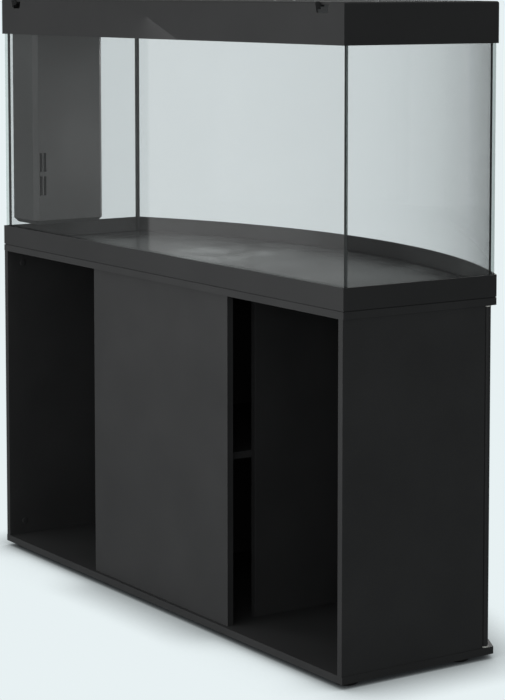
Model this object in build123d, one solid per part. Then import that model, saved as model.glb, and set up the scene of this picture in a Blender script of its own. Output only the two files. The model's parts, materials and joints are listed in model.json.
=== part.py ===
from build123d import *
import os
from math import atan2, cos, degrees, hypot, pi, radians, sin, sqrt, tan

# Bow-fronted aquarium on a cabinet, in millimetres.
# +Z is up, the flat rear faces +Y, the bowed front faces -Y, and left and right are as seen from the front.
# The origin is on the floor, at the middle of the overall length and depth.

# Overall sizes
overall_length = 1510.0
overall_depth = 610.0        # at the middle of the bow
end_depth = 410.0            # at the two flat ends
cabinet_height = 800.0
tank_height = 640.0          # bottom frame to the top of the hood

# Cabinet boards
board = 16.0
board_edge = 0.8             # rounding along the long outer edges
foot_height = 12.0
foot_radius = 25.0
foot_chamfer = 2.0
foot_from_edge = 40.0
foot_stem_radius = 4.0
foot_stem_depth = 11.0
foot_from_fitting = 20.0     # front foot to the divider's front cam bolt
side_panel_inset = 1.75      # end of the boards to the side panel's outer face
side_panel_depth = 381.0
bay_width = 485.0            # end of the boards to the divider's outer face
divider_setback = 105.0      # rear plane to the divider's rear edge
back_panel_overlap = 30.0    # how far the back panel reaches past each divider
back_panel_setback = 10.0
shelf_height = 398.0         # floor to the shelf's underside
shelf_front_setback = 50.0   # divider's front edge to the shelf's front edge
shelf_side_clearance = 0.5
shelf_rear_clearance = 1.0

# Panel joints
cam_radius = 7.5
cam_depth = 12.5
cam_from_end = 34.0
bolt_radius = 3.5
bolt_in_board = 10.0
bolt_in_cam = 3.0
dowel_radius = 4.0
dowel_in_panel = 20.0
dowel_in_board = 10.0
fitting_from_edge = 45.0
dowel_from_cam = 32.0
shelf_pin_radius = 2.5
shelf_pin_in_panel = 8.0
shelf_pin_reach = 9.0
shelf_pin_from_edge = 37.0

# Doors
door_thickness = 16.0
door_gap = 3.0               # round each door leaf
door_end_inset = 1.5         # end of the boards to the door's hinged edge
front_overhang = 32.0        # middle of the bow to the middle door's face
pin_radius = 4.0
pin_in_door = 30.0
pin_in_board = 13.0
pin_clearance = 0.05
bush_wall = 2.0
bush_flange = 2.5            # how far the flange stands out from the sleeve
bush_lift_clearance = 0.3
handle_length = 160.0
handle_bar_radius = 5.0
handle_end_rounding = 1.5
handle_post_radius = 4.5
handle_standoff = 26.0       # door face to the bar's axis
handle_post_from_end = 16.0
handle_from_edge = 38.0
handle_height = 560.0
screw_radius = 2.0
screw_in_post = 12.0
screw_head_radius = 4.0
screw_head = 2.5
catch_length = 45.0
catch_depth = 14.0
catch_height = 16.0
catch_from_edge = 27.0
strike_thickness = 1.5
strike_height = 12.0
strike_margin = 2.0
catch_air = 0.5
catch_rounding = 2.0

# Tank
frame_height = 50.0
frame_wall = 4.5
frame_ledge = 2.0
frame_ledge_width = 40.0
shadow_gap_height = 2.0      # groove round the frame's foot, above the top board
shadow_gap_depth = 2.5
glass_inset = 5.0            # outline to the glass's outer face
glass = 8.0
bond = 1.0
bead = 3.0
glass_into_hood = 50.0
cross_tie_width = 80.0
cross_tie_below_glass = 8.0

# Hood
hood_height = 90.0
hood_wall = 4.0
hood_edge = 5.0              # rounding of the top outer edge
rim_width = 12.0
rim_height = 16.0
lid_ledge = 10.0
lid_ledge_thickness = 4.0
notch_from_end = 52.0
notch_top_width = 52.0
notch_bottom_width = 39.0
notch_depth = 24.0
notch_corner = 4.0

# Hood lids
lid_thickness = 6.0
lid_below_rim = 1.0
lid_gap = 1.5
lid_barrel_radius = 5.0
lid_rod_radius = 2.0
rod_end_gap = 1.0
lug_width = 12.0
lug_gap = 0.5
lug_from_end = 40.0
dish_length = 70.0
dish_width = 22.0
dish_depth = 13.0
dish_wall = 2.0
dish_corner = 6.0
dish_from_edge = 14.0

# Light beam across the hood
beam_width = 90.0
beam_center = 320.0          # rear plane to the beam's centre line
beam_skin = 3.0
beam_top = 4.0
beam_drop = 31.0             # side wall's height under the top plate
beam_to_barrel = 2.0
beam_end_gap = 1.0
tube_length = 1200.0
tube_radius = 12.0
tube_cap_radius = 13.0
tube_cap_length = 18.0
tube_spacing = 40.0
socket_length = 14.0
cover_thickness = 3.0
gland_radius = 6.0
gland_length = 12.0
gland_bore_radius = 3.5
gland_from_end = 65.0

# Internal filter
filter_width = 129.0
filter_depth = 202.0
filter_height = 527.0
filter_wall = 3.0
filter_chamfer = 11.0
filter_side_pad = 1.0        # end pane to the box
filter_rear_gap = 4.0        # rear pane to the box
filter_drop = 12.0           # top of the glass to the top of the box
pad_radius = 15.0
pad_from_end = 100.0         # box bottom or top to the pads
pad_from_side = 45.0         # box front or rear to the pads
slot_width = 2.6
slot_starts = (14.0, 18.0, 25.0, 29.0)   # box rear to each slot
slot_height = 49.0
slot_rows = (76.0, 136.0)    # box bottom to each row's lower end
filter_lid_thickness = 4.0
filter_lid_edge = 1.0
filter_lid_skirt = 6.0
filter_lid_clearance = 0.3
filter_grip_length = 44.0
filter_grip_width = 10.0
filter_grip_height = 6.0
filter_grip_corner = 4.0
chamber_depth = 74.0         # pump chamber behind the partition
partition_thickness = 3.0
basket_wall = 2.0
basket_height = 190.0
basket_gap = 6.0
basket_clearance = 3.0
sponge_clearance = 1.0
sponge_height = 170.0

# Pump and outlet
pump_from_side = 43.0        # box's inner side to the pump's axis
pump_body_radius = 29.0
pump_body_height = 50.0
pump_body_edge = 2.0
pump_shelf_height = 322.0    # box bottom to the pump's underside
pump_well_radius = 11.5
pump_well_floor = 9.0
rotor_radius = 11.0
rotor_clearance = 0.5
impeller_radius = 15.0
impeller_height = 12.0
vane_thickness = 1.5
pump_shaft_radius = 1.5
pump_cover_radius = 21.0
pump_cover_wall = 3.0
pump_cover_height = 18.0
inlet_count = 3
inlet_width = 8.0
inlet_height = 6.0
riser_offset = 9.0
pipe_radius = 8.0
pipe_bore_radius = 6.0
pipe_below_top = 26.0        # box top to the outlet's axis
pipe_reach = 14.0            # box side to the pipe's end
nozzle_wall = 2.0
nozzle_clearance = 0.1
nozzle_sleeve = 16.0
nozzle_spout = 28.0
nozzle_angle = 30.0

# Heater
heater_radius = 12.0
heater_length = 270.0
heater_head_radius = 15.0
heater_head_height = 16.0
heater_from_pump = 57.0
heater_below_top = 10.0      # box top to the knob's top
heater_tip_flat = 1.0
knob_radius = 11.0
knob_height = 11.0
knob_gap = 0.3
knob_grooves = 12
knob_groove_radius = 1.2
pointer_width = 2.0
pointer_height = 1.0
pointer_from_axis = 3.0
pointer_from_rim = 2.0
spigot_radius = 3.0
spigot_height = 8.0
holder_thickness = 4.0
holder_width = 44.0
holder_drop = 216.0          # heater head to the lower holder
holder_clearance = 1.0       # end of a holder or the pump shelf to the box side

# How far a cut runs past the face that it opens
past = 1.0

# Worked out from the sizes above
half_length = overall_length / 2
rear_y = overall_depth / 2
sagitta = overall_depth - end_depth
bow_radius = (half_length ** 2 + sagitta ** 2) / (2 * sagitta)
bow_center_y = -rear_y + bow_radius
total_height = cabinet_height + tank_height

bottom_top = foot_height + board             # upper face of the bottom board
top_low = cabinet_height - board             # lower face of the top board
side_outer_x = half_length - side_panel_inset
side_inner_x = side_outer_x - board
side_front_y = rear_y - side_panel_depth
divider_outer_x = half_length - bay_width
divider_inner_x = divider_outer_x - board
divider_rear_y = rear_y - divider_setback
back_outer_y = rear_y - back_panel_setback
back_inner_y = back_outer_y - board
back_half_width = divider_outer_x + back_panel_overlap

door_half = door_thickness / 2
door_low = bottom_top + door_gap
door_high = top_low - door_gap
door_meet_x = (divider_inner_x + divider_outer_x) / 2
door_meet_y = -rear_y + front_overhang + door_half
side_pin_x = half_length - door_end_inset - door_half
side_pin_y = side_front_y - door_gap - door_half
side_door_reach = hypot(side_pin_x - door_meet_x, door_meet_y - side_pin_y)
side_door_angle = degrees(atan2(side_pin_y - door_meet_y, side_pin_x - door_meet_x))
side_door_length = side_door_reach - 1.5 * door_gap
middle_pin_x = -(door_meet_x - door_gap / 2 - door_half)
middle_door_length = 2 * door_meet_x - door_gap - door_half
divider_front_y = (door_meet_y + (divider_outer_x - door_meet_x) * tan(radians(side_door_angle))
                   + door_half / cos(radians(side_door_angle)) + door_gap)

tank_floor = cabinet_height + frame_ledge
floor_glass_top = tank_floor + glass
frame_top = cabinet_height + frame_height
glass_inner = glass_inset + glass
hood_low = total_height - hood_height
glass_top = hood_low + glass_into_hood

lid_top = total_height - lid_below_rim
lid_low = lid_top - lid_thickness
hinge_z = lid_top - lid_barrel_radius
beam_y = rear_y - beam_center
barrel_offset = beam_width / 2 + beam_to_barrel + lid_barrel_radius
beam_top_z = lid_low + beam_top
beam_low_z = lid_low - beam_drop
lid_outer_x = half_length - rim_width - lid_gap
barrel_outer_x = lid_outer_x - lid_ledge
lid_edge_inset = rim_width + lid_gap

filter_high_x = half_length - glass_inner - filter_side_pad
filter_low_x = filter_high_x - filter_width
filter_rear_y = rear_y - glass_inner - filter_rear_gap
filter_front_y = filter_rear_y - filter_depth
filter_top = glass_top - filter_drop
filter_low = filter_top - filter_height
filter_floor = filter_low + filter_wall
chamber_rear_y = filter_rear_y - filter_wall
partition_rear_y = chamber_rear_y - chamber_depth
partition_front_y = partition_rear_y - partition_thickness
pump_x = filter_low_x + filter_wall + pump_from_side
pump_y = chamber_rear_y - chamber_depth / 2
pump_low = filter_low + pump_shelf_height
pump_high = pump_low + pump_body_height
pipe_z = filter_top - pipe_below_top
heater_x = pump_x + heater_from_pump
knob_top = filter_top - heater_below_top
knob_low = knob_top - knob_height
head_top = knob_low - knob_gap


def bow_y(x, inset=0.0):
    # y of the front arc at x, moved inwards by inset
    return bow_center_y - sqrt((bow_radius - inset) ** 2 - x ** 2)


def plan(inset, low_x, high_x, back_y):
    # face with a straight back and sides and the bowed front
    mid_x = (low_x + high_x) / 2
    left = (low_x, bow_y(low_x, inset))
    right = (high_x, bow_y(high_x, inset))
    front = ThreePointArc(left, (mid_x, bow_y(mid_x, inset)), right)
    rest = Polyline(right, (high_x, back_y), (low_x, back_y), left)
    return make_face([front, rest])


def outline(inset):
    # the whole plan shape, moved inwards by inset all round
    return plan(inset, -half_length + inset, half_length - inset, rear_y - inset)


def slab(face, low_z, high_z):
    return extrude(Pos(0, 0, low_z) * face, high_z - low_z, dir=(0, 0, 1))


def ring(outer_inset, inner_inset, low_z, high_z):
    return slab(outline(outer_inset), low_z, high_z) - slab(outline(inner_inset), low_z - past, high_z + past)


def block(x, y, z):
    # box from (low, high) pairs
    size = (x[1] - x[0], y[1] - y[0], z[1] - z[0])
    return Pos((x[0] + x[1]) / 2, (y[0] + y[1]) / 2, (z[0] + z[1]) / 2) * Box(*size)


def rod_z(x, y, radius, low_z, high_z):
    return Pos(x, y, (low_z + high_z) / 2) * Cylinder(radius, high_z - low_z)


def rod_x(y, z, radius, low_x, high_x):
    return Pos((low_x + high_x) / 2, y, z) * Rot(0, 90, 0) * Cylinder(radius, high_x - low_x)


def rod_y(x, z, radius, low_y, high_y):
    return Pos(x, (low_y + high_y) / 2, z) * Rot(90, 0, 0) * Cylinder(radius, high_y - low_y)


def round_upright(solid, radius):
    # rounds the four upright edges of a plain block
    return fillet(solid.edges().filter_by(Axis.Z), radius)


# ---- Cabinet ----

def foot_points():
    # one foot near each end and under each divider, along the rear and along the front
    end_x = half_length - foot_from_edge
    inner_x = door_meet_x
    rear = [(x, rear_y - foot_from_edge) for x in (-end_x, -inner_x, inner_x, end_x)]
    front_end_y = side_front_y + foot_from_edge
    front_inner_y = divider_front_y + fitting_from_edge - foot_from_fitting
    front = []
    for side in (-1, 1):
        front += [(side * end_x, front_end_y), (side * inner_x, front_inner_y)]
    return rear + front


def make_feet():
    feet = []
    for x, y in foot_points():
        disc = rod_z(x, y, foot_radius, 0, foot_height)
        disc = chamfer(disc.edges().group_by(Axis.Z)[0], foot_chamfer)
        feet.append(disc + rod_z(x, y, foot_stem_radius, foot_height, foot_height + foot_stem_depth))
    return feet


def panels():
    # upright panels: x range, y range and the side their cam fittings open to
    side = (side_inner_x, side_outer_x)
    divider = (divider_inner_x, divider_outer_x)
    side_y = (side_front_y, rear_y)
    divider_y = (divider_front_y, divider_rear_y)
    return {
        "side_panel_left": ((-side[1], -side[0]), side_y, "+x"),
        "side_panel_right": (side, side_y, "-x"),
        "divider_left": ((-divider[1], -divider[0]), divider_y, "+x"),
        "divider_right": (divider, divider_y, "-x"),
        "back_panel": ((-back_half_width, back_half_width), (back_inner_y, back_outer_y), "-y"),
    }


def fitting_points(name):
    # cam and dowel places along the panel's middle line
    x, y, opens = panels()[name]
    middle_x = (x[0] + x[1]) / 2
    middle_y = (y[0] + y[1]) / 2
    if opens == "-y":
        along = [x[0] + fitting_from_edge, x[1] - fitting_from_edge]
        cams = [(value, middle_y) for value in along]
        dowels = [(along[0] + dowel_from_cam, middle_y), (along[1] - dowel_from_cam, middle_y)]
    else:
        along = [y[0] + fitting_from_edge, y[1] - fitting_from_edge]
        cams = [(middle_x, value) for value in along]
        dowels = [(middle_x, along[0] + dowel_from_cam), (middle_x, along[1] - dowel_from_cam)]
    return cams, dowels


def cam_solid(name, x, y, z):
    panel_x, panel_y, opens = panels()[name]
    if opens == "+x":
        return rod_x(y, z, cam_radius, panel_x[1] - cam_depth, panel_x[1])
    if opens == "-x":
        return rod_x(y, z, cam_radius, panel_x[0], panel_x[0] + cam_depth)
    return rod_y(x, z, cam_radius, panel_y[0], panel_y[0] + cam_depth)


def panel_joints(name):
    # cams, bolts and dowels at both ends of one upright panel
    cams, dowels = fitting_points(name)
    cam_solids = []
    bolt_solids = []
    dowel_solids = []
    bolt_end = cam_from_end - cam_radius + bolt_in_cam
    for x, y in cams:
        low_bolt = rod_z(x, y, bolt_radius, bottom_top - bolt_in_board, bottom_top + bolt_end)
        high_bolt = rod_z(x, y, bolt_radius, top_low - bolt_end, top_low + bolt_in_board)
        bolt_solids += [low_bolt, high_bolt]
        cam_solids.append(cam_solid(name, x, y, bottom_top + cam_from_end) - low_bolt)
        cam_solids.append(cam_solid(name, x, y, top_low - cam_from_end) - high_bolt)
    low_dowel = (bottom_top - dowel_in_board, bottom_top + dowel_in_panel)
    high_dowel = (top_low - dowel_in_panel, top_low + dowel_in_board)
    for x, y in dowels:
        dowel_solids.append(rod_z(x, y, dowel_radius, *low_dowel))
        dowel_solids.append(rod_z(x, y, dowel_radius, *high_dowel))
    return cam_solids, bolt_solids, dowel_solids


def make_panel(name):
    x, y, _ = panels()[name]
    panel = round_upright(block(x, y, (bottom_top, top_low)), board_edge)
    for group in panel_joints(name):
        for solid in group:
            panel -= solid
    if name.startswith("divider"):
        for pin in shelf_pin_solids():
            panel -= pin
    return panel


def make_board(low_z):
    # top or bottom board, cut for every fitting that enters it
    plate = slab(outline(0), low_z, low_z + board)
    plate = fillet(plate.edges().filter_by(Axis.Z), board_edge)
    for name in panels():
        _, bolts, dowels = panel_joints(name)
        for solid in bolts + dowels:
            plate -= solid
    for bush in bush_solids(filled=True):
        plate -= bush
    for x, y in foot_points():
        plate -= rod_z(x, y, foot_stem_radius, foot_height - past, foot_height + foot_stem_depth)
    return plate


def shelf_pin_solids():
    pins = []
    z = shelf_height - shelf_pin_radius
    front_y = divider_front_y + shelf_front_setback + shelf_pin_from_edge
    back_y = divider_rear_y - shelf_pin_from_edge
    for side in (-1, 1):
        in_panel = side * (divider_inner_x + shelf_pin_in_panel)
        in_bay = side * (divider_inner_x - shelf_pin_reach)
        for y in (front_y, back_y):
            pins.append(rod_x(y, z, shelf_pin_radius, *sorted((in_panel, in_bay))))
    return pins


def make_shelf():
    half = divider_inner_x - shelf_side_clearance
    y = (divider_front_y + shelf_front_setback, back_inner_y - shelf_rear_clearance)
    return round_upright(block((-half, half), y, (shelf_height, shelf_height + board)), board_edge)


# ---- Doors, each built along its own X from the hinge pin, with its outer face on the side of the hand ----

def door_kinds():
    # place of the hinge pin, direction of the leaf, its reach, and the hand of its outer face
    angle = side_door_angle
    return {
        "left": (Location((-side_pin_x, side_pin_y, 0), (0, 0, -angle)), side_door_length, -1),
        "middle": (Location((middle_pin_x, door_meet_y, 0)), middle_door_length, -1),
        "right": (Location((side_pin_x, side_pin_y, 0), (0, 0, 180 + angle)), side_door_length, 1),
    }


def outward(hand, near, far):
    return tuple(sorted((hand * near, hand * far)))


def pin_solids():
    low = rod_z(0, 0, pin_radius, bottom_top - pin_in_board, door_low + pin_in_door)
    high = rod_z(0, 0, pin_radius, door_high - pin_in_door, top_low + pin_in_board)
    return [low, high]


def handle_posts(reach):
    x = reach - handle_from_edge
    half = handle_length / 2 - handle_post_from_end
    return [(x, handle_height - half), (x, handle_height + half)]


def screw_solids(reach, hand):
    screws = []
    for x, z in handle_posts(reach):
        shank = rod_y(x, z, screw_radius, *outward(hand, -door_half, door_half + screw_in_post))
        head = rod_y(x, z, screw_head_radius, *outward(hand, -door_half - screw_head, -door_half))
        screws.append(shank + head)
    return screws


def make_leaf(reach, hand):
    leaf = block((0, reach), (-door_half, door_half), (door_low, door_high))
    free_edges = leaf.edges().filter_by(Axis.Z).group_by(Axis.X)[-1]
    leaf = fillet(free_edges, board_edge)
    leaf += rod_z(0, 0, door_half, door_low, door_high)
    for pin in pin_solids():
        leaf -= pin
    for screw in screw_solids(reach, hand):
        leaf -= screw
    return leaf


def make_handle(reach, hand):
    x = reach - handle_from_edge
    bar_low = handle_height - handle_length / 2
    bar = rod_z(x, hand * (door_half + handle_standoff), handle_bar_radius, bar_low, bar_low + handle_length)
    bar = fillet(bar.edges(), handle_end_rounding)
    for post_x, z in handle_posts(reach):
        bar += rod_y(post_x, z, handle_post_radius, *outward(hand, door_half, door_half + handle_standoff))
    for screw in screw_solids(reach, hand):
        bar -= screw
    return bar


def strike_range(reach):
    return (reach - catch_from_edge - catch_length + strike_margin, reach - catch_from_edge - strike_margin)


def make_strike(reach, hand):
    z = (door_high - strike_margin - strike_height, door_high - strike_margin)
    return block(strike_range(reach), outward(hand, -door_half, -door_half - strike_thickness), z)


def make_catch(reach, hand):
    x = (reach - catch_from_edge - catch_length, reach - catch_from_edge)
    near = -door_half - strike_thickness - catch_air
    body = block(x, outward(hand, near, near - catch_depth), (top_low - catch_height, top_low))
    return fillet(body.edges().filter_by(Axis.Z), catch_rounding)


def make_catches():
    return [place * make_catch(reach, hand) for place, reach, hand in door_kinds().values()]


def bush_solids(filled):
    # flanged sleeves in the bottom and top boards
    sleeve = pin_radius + pin_clearance + bush_wall
    flange = sleeve + bush_flange
    rise = door_gap - bush_lift_clearance
    bushes = []
    for place, _, _ in door_kinds().values():
        low = rod_z(0, 0, sleeve, bottom_top - pin_in_board, bottom_top)
        low += rod_z(0, 0, flange, bottom_top, bottom_top + rise)
        high = rod_z(0, 0, sleeve, top_low, top_low + pin_in_board)
        high += rod_z(0, 0, flange, top_low - rise, top_low)
        for bush in (low, high):
            if not filled:
                bush -= rod_z(0, 0, pin_radius + pin_clearance, 0, cabinet_height)
            bushes.append(place * bush)
    return bushes


# ---- Tank ----

def make_bottom_frame():
    wall = slab(outline(0), cabinet_height, frame_top)
    wall = fillet(wall.edges().filter_by(Axis.Z), board_edge)
    wall -= slab(outline(frame_wall), cabinet_height - past, frame_top + past)
    wall -= ring(-past, shadow_gap_depth, cabinet_height - past, cabinet_height + shadow_gap_height)
    return wall + ring(frame_wall, frame_ledge_width, cabinet_height, tank_floor)


def make_end_pane(side):
    outer = half_length - glass_inset
    x = sorted((side * outer, side * (outer - glass)))
    return slab(plan(glass_inner + bond, x[0], x[1], rear_y - glass_inner - bond), tank_floor, glass_top)


def make_rear_pane():
    x = half_length - glass_inset
    return block((-x, x), (rear_y - glass_inner, rear_y - glass_inset), (tank_floor, glass_top))


def make_bow_pane():
    x = half_length - glass_inset
    outer = slab(plan(glass_inset, -x, x, 0), tank_floor, glass_top)
    return outer - slab(plan(glass_inner, -x - past, x + past, past), tank_floor - past, glass_top + past)


def make_seals():
    # bonded joints and beads in the four corners, and round the floor pane
    inner_x = half_length - glass_inner
    inner = slab(outline(glass_inner), floor_glass_top + bead, glass_top)
    seals = []
    for side in (-1, 1):
        for y, step in ((rear_y - glass_inner, -bond), (bow_y(inner_x, glass_inner), bond)):
            wedge = rod_z(side * inner_x, y, bead, floor_glass_top + bead, glass_top) & inner
            joint_x = sorted((side * (inner_x + glass), side * (inner_x - bond)))
            if step < 0:
                joint = block(joint_x, (y + step, y), (floor_glass_top + bead, glass_top))
            else:
                strip = plan(glass_inner, joint_x[0], joint_x[1], 0)
                inside = plan(glass_inner + bond, joint_x[0] - past, joint_x[1] + past, past)
                joint = slab(strip - inside, floor_glass_top + bead, glass_top)
            seals.append(wedge + joint)
    around = ring(glass_inner, glass_inner + bond, tank_floor, floor_glass_top)
    around += ring(glass_inner, glass_inner + bead, floor_glass_top, floor_glass_top + bead)
    return seals + [around]


def make_cross_ties():
    high_z = glass_top - cross_tie_below_glass
    ties = []
    for side in (-1, 1):
        near_x = side * (door_meet_x - cross_tie_width / 2)
        far_x = side * (door_meet_x + cross_tie_width / 2)
        x = sorted((near_x, far_x))
        ties.append(slab(plan(glass_inner, x[0], x[1], rear_y - glass_inner), high_z - glass, high_z))
    return ties


# ---- Hood ----

def notch_solids():
    notches = []
    for side in (-1, 1):
        center = side * (half_length - notch_from_end - notch_top_width / 2)
        low_z = total_height - notch_depth
        low = notch_bottom_width / 2
        high = notch_top_width / 2
        rise = notch_depth + past
        shape = Polygon((-low, 0), (low, 0), (high, rise), (-high, rise), align=None)
        shape = fillet(shape.vertices().group_by(Axis.Y)[0], notch_corner)
        start = Plane((center, rear_y + past, low_z), x_dir=(1, 0, 0), z_dir=(0, -1, 0))
        notches.append(extrude(start * shape, rim_width + lid_ledge + 2 * past))
    return notches


def make_hood_frame():
    shell = slab(outline(0), hood_low, total_height)
    shell = fillet(shell.edges().filter_by(Axis.Z), board_edge)
    shell = fillet(shell.faces().sort_by(Axis.Z)[-1].edges(), hood_edge)
    shell -= slab(outline(hood_wall), hood_low - past, total_height - rim_height)
    shell -= slab(outline(rim_width), total_height - rim_height - past, total_height + past)
    shell += ring(rim_width, rim_width + lid_ledge, lid_low - lid_ledge_thickness, lid_low)
    shell += ring(hood_wall, glass_inner, glass_top, glass_top + frame_ledge)
    for notch in notch_solids():
        shell -= notch
    return shell


def lug_places(side):
    # x of the hinge lugs of the lids on one side of the middle
    low = lid_gap / 2 + lug_from_end
    high = lid_outer_x - lug_from_end
    return sorted((side * low, side * (low + high) / 2, side * high))


def hinge_y(row):
    return beam_y + barrel_offset * (1 if row == "rear" else -1)


def dish_block(x, y, inset):
    # the finger dish's outer block, or with an inset its hollow
    half_x = dish_length / 2 - inset
    half_y = dish_width / 2 - inset
    z = (lid_top - dish_depth + inset, lid_top + inset)
    return round_upright(block((x - half_x, x + half_x), (y - half_y, y + half_y), z), dish_corner - inset)


def make_lid(row, side):
    x = sorted((side * lid_gap / 2, side * lid_outer_x))
    axis_y = hinge_y(row)
    if row == "rear":
        free_y = rear_y - lid_edge_inset
        plate = block(x, (axis_y, free_y), (lid_low, lid_top))
        dish_y = free_y - dish_from_edge - dish_width / 2
        dish_x = (x[0] + x[1]) / 2
    else:
        plate = slab(plan(lid_edge_inset, x[0], x[1], axis_y), lid_low, lid_top)
        dish_x = side * (lid_gap / 2 + lug_from_end + dish_length)
        edge_y = bow_y(abs(dish_x) + dish_length / 2, lid_edge_inset)
        dish_y = edge_y + dish_from_edge + dish_width / 2
    barrel_x = sorted((side * lid_gap / 2, side * barrel_outer_x))
    plate += rod_x(axis_y, hinge_z, lid_barrel_radius, *barrel_x)
    plate = plate + dish_block(dish_x, dish_y, 0) - dish_block(dish_x, dish_y, dish_wall)
    for lug_x in lug_places(side):
        half = lug_width / 2 + lug_gap
        plate -= rod_x(axis_y, hinge_z, lid_barrel_radius + beam_to_barrel, lug_x - half, lug_x + half)
    return plate - rod_x(axis_y, hinge_z, lid_rod_radius + pin_clearance, x[0] - past, x[1] + past)


def make_hinge_rods():
    rods = []
    for row in ("front", "rear"):
        for side in (-1, 1):
            x = sorted((side * (lid_gap / 2 + rod_end_gap), side * (barrel_outer_x - rod_end_gap)))
            rods.append(rod_x(hinge_y(row), hinge_z, lid_rod_radius, *x))
    return rods


def make_light_housing():
    # inverted channel with closed ends, tube sockets, hinge lugs and a cable gland
    low_y = beam_y - beam_width / 2
    high_y = beam_y + beam_width / 2
    reach = half_length - rim_width - beam_end_gap
    box_x = half_length - rim_width - lid_ledge - beam_skin
    housing = block((-reach, reach), (low_y, high_y), (lid_low, beam_top_z))
    channel = block((-box_x, box_x), (low_y, high_y), (beam_low_z, lid_low))
    inside_y = (low_y + beam_skin, high_y - beam_skin)
    inside = block((-box_x + beam_skin, box_x - beam_skin), inside_y, (beam_low_z - past, lid_low))
    housing += channel - inside
    socket_x = tube_length / 2 + tube_cap_length
    for side in (-1, 1):
        socket = sorted((side * socket_x, side * (socket_x + socket_length)))
        housing += block(socket, inside_y, (beam_low_z + cover_thickness, lid_low))
    for row, edge in (("front", low_y), ("rear", high_y)):
        for side in (-1, 1):
            for lug_x in lug_places(side):
                arm_y = sorted((edge, hinge_y(row)))
                half = lug_width / 2
                housing += block((lug_x - half, lug_x + half), arm_y, (hinge_z - lid_barrel_radius, hinge_z))
                housing += rod_x(hinge_y(row), hinge_z, lid_barrel_radius, lug_x - half, lug_x + half)
    for rod in make_hinge_rods():
        housing -= rod
    gland_x = box_x - gland_from_end
    gland_z = (beam_low_z + lid_low) / 2
    gland_end_y = high_y + gland_length
    housing += rod_y(gland_x, gland_z, gland_radius, high_y, gland_end_y)
    return housing - rod_y(gland_x, gland_z, gland_bore_radius, high_y - 2 * beam_skin, gland_end_y + past)


def make_light_cover():
    box_x = half_length - rim_width - lid_ledge - 2 * beam_skin
    half = beam_width / 2 - beam_skin
    return block((-box_x, box_x), (beam_y - half, beam_y + half), (beam_low_z, beam_low_z + cover_thickness))


def make_led_tubes():
    tubes = []
    z = (beam_low_z + cover_thickness + lid_low) / 2
    for side in (-1, 1):
        y = beam_y + side * tube_spacing / 2
        tube = rod_x(y, z, tube_radius, -tube_length / 2, tube_length / 2)
        for end in (-1, 1):
            cap = sorted((end * tube_length / 2, end * (tube_length / 2 + tube_cap_length)))
            tube += rod_x(y, z, tube_cap_radius, *cap)
        tubes.append(tube)
    return tubes


# ---- Internal filter ----

def filter_shape(shrink, low_z, high_z):
    # box with chamfered uprights and bottom edges
    x = (filter_low_x + shrink, filter_high_x - shrink)
    y = (filter_front_y + shrink, filter_rear_y - shrink)
    return chamfer(block(x, y, (low_z, high_z)).edges().filter_by(Axis.Z), filter_chamfer - shrink / 2)


def make_filter_box():
    outer = filter_shape(0, filter_low, filter_top)
    outer = chamfer(outer.faces().sort_by(Axis.Z)[0].edges(), filter_chamfer)
    inner = filter_shape(filter_wall, filter_floor, filter_top + past)
    inner = chamfer(inner.faces().sort_by(Axis.Z)[0].edges(), filter_chamfer - filter_wall / 2)
    box = outer - inner
    through_side = (filter_low_x - past, filter_low_x + filter_wall + past)
    for row in slot_rows:
        for start in slot_starts:
            y = filter_rear_y - start
            z = filter_low + row
            box -= block(through_side, (y - slot_width, y), (z, z + slot_height))
    return box - rod_x(pump_y, pipe_z, pipe_radius, *through_side)


def make_filter_lid():
    high_z = filter_top + filter_lid_thickness
    plate = filter_shape(0, filter_top, high_z)
    plate = chamfer(plate.faces().sort_by(Axis.Z)[-1].edges(), filter_lid_edge)
    skirt_inset = filter_wall + filter_lid_clearance
    skirt = filter_shape(skirt_inset, filter_top - filter_lid_skirt, filter_top)
    skirt -= filter_shape(skirt_inset + basket_wall, filter_top - filter_lid_skirt - past, filter_top + past)
    middle_x = (filter_low_x + filter_high_x) / 2
    middle_y = (filter_front_y + filter_rear_y) / 2
    grip_x = (middle_x - filter_grip_length / 2, middle_x + filter_grip_length / 2)
    grip_y = (middle_y - filter_grip_width / 2, middle_y + filter_grip_width / 2)
    grip = block(grip_x, grip_y, (high_z, high_z + filter_grip_height))
    return plate + skirt + round_upright(grip, filter_grip_corner)


def make_partition():
    x = (filter_low_x + filter_wall, filter_high_x - filter_wall)
    wall_top = filter_top - filter_lid_skirt - basket_gap
    wall = block(x, (partition_front_y, partition_rear_y), (filter_floor + filter_chamfer, wall_top))
    shelf_y = (partition_rear_y, chamber_rear_y - filter_chamfer)
    shelf_low = pump_low - holder_thickness
    wall += block((x[0] + holder_clearance, pump_x + pump_body_radius), shelf_y, (shelf_low, pump_low))
    holder_end_x = min(heater_x + holder_width / 2, x[1] - holder_clearance)
    head_low = head_top - heater_head_height
    for z in (head_low - holder_thickness, head_low - holder_drop):
        holder = block((heater_x - holder_width / 2, holder_end_x), shelf_y, (z, z + holder_thickness))
        wall += holder - rod_z(heater_x, pump_y, heater_radius, z - past, z + holder_thickness + past)
    return wall


def basket_low(level):
    return filter_floor + filter_chamfer + level * (basket_height + basket_gap)


def basket_ranges():
    x = (filter_low_x + filter_wall + basket_clearance, filter_high_x - filter_wall - basket_clearance)
    y = (filter_front_y + filter_wall + basket_clearance, partition_front_y - basket_clearance)
    return x, y


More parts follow.
